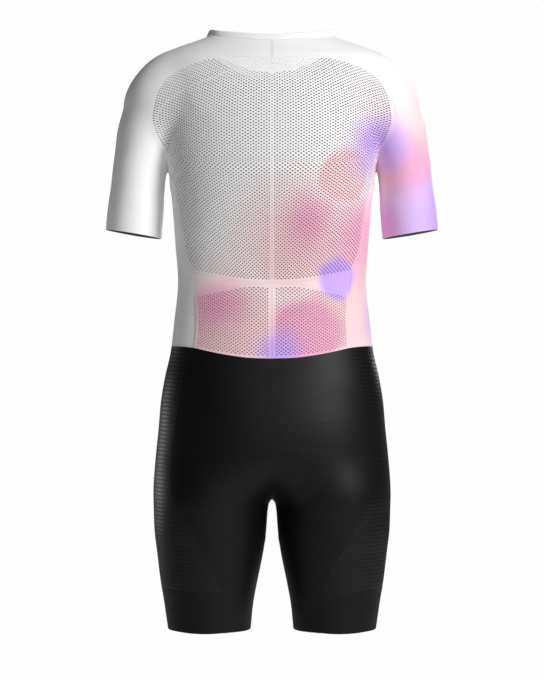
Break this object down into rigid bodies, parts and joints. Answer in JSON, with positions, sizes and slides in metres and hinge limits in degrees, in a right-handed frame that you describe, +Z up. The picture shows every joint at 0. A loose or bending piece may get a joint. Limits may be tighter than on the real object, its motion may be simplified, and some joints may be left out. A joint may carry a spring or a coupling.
{
  "type": "triathlon suit",
  "caption": "Short-sleeved one-piece sports suit with knee-length legs, hollow and open at neck, cuffs and hems, with a front zip, a mesh back and two back pockets.",
  "frame": {"origin": "middle of the neck opening, level with the base of the neck, where the suit hangs on the wearer's shoulders", "axes": "+Z up; -Y is the wearer's front, where the zip is; +X is the wearer's left"},
  "size_m": [0.5334, 0.2534, 0.9545],
  "materials": {
    "collar": "matt stretch knit, white",
    "sleeve_left": "matt stretch knit, white",
    "sleeve_right": "matt stretch knit, white with a soft pink and lilac shaded print",
    "back_mesh": "open eyelet mesh knit, white",
    "back_lower": "matt stretch knit, white",
    "pocket_left": "open eyelet mesh knit, white",
    "pocket_right": "open eyelet mesh knit, white with a soft pink and lilac shaded print",
    "side_left": "matt stretch knit, white",
    "side_right": "matt stretch knit, white with a soft pink and lilac shaded print",
    "front_left": "matt stretch knit, white",
    "front_right": "matt stretch knit, white with a soft pink and lilac shaded print",
    "shorts_yoke": "compression knit with a slight satin sheen, black",
    "thigh_side_left": "fine cross-ribbed compression knit, black",
    "thigh_side_right": "fine cross-ribbed compression knit, black",
    "leg_back_left": "compression knit with a slight satin sheen, black",
    "leg_back_right": "compression knit with a slight satin sheen, black",
    "leg_front_left": "compression knit with a slight satin sheen, black",
    "leg_front_right": "compression knit with a slight satin sheen, black",
    "zip_tape_left": "woven polyester tape, white",
    "zip_tape_right": "woven polyester tape, white",
    "zip_chain": "moulded coil, white",
    "zip_bottom_stop": "crimped metal",
    "zip_slider": "die-cast, satin grey",
    "zip_pull": "die-cast, satin grey"
  },
  "bodies": {
    "suit": {"collar": "collar", "sleeve_left": "sleeve_left", "sleeve_right": "sleeve_right", "back_mesh": "back_mesh", "back_lower": "back_lower", "pocket_left": "pocket_left", "pocket_right": "pocket_right", "side_left": "side_left", "side_right": "side_right", "front_left": "front_left", "front_right": "front_right", "shorts_yoke": "shorts_yoke", "thigh_side_left": "thigh_side_left", "thigh_side_right": "thigh_side_right", "leg_back_left": "leg_back_left", "leg_back_right": "leg_back_right", "leg_front_left": "leg_front_left", "leg_front_right": "leg_front_right", "zip_tape_left": "zip_tape_left", "zip_tape_right": "zip_tape_right", "zip_chain": "zip_chain", "zip_bottom_stop": "zip_bottom_stop", "zip_slider": "zip_slider"},
    "pull": {"zip_pull": "zip_pull"}
  },
  "joints": [
    {"name": "zip_pull_swing", "type": "hinge", "parent": "suit", "child": "pull", "pos_m": [0, -0.08471, -0.04934], "axis": [-1, 0, 0], "range_deg": [0, 160]}
  ]
}
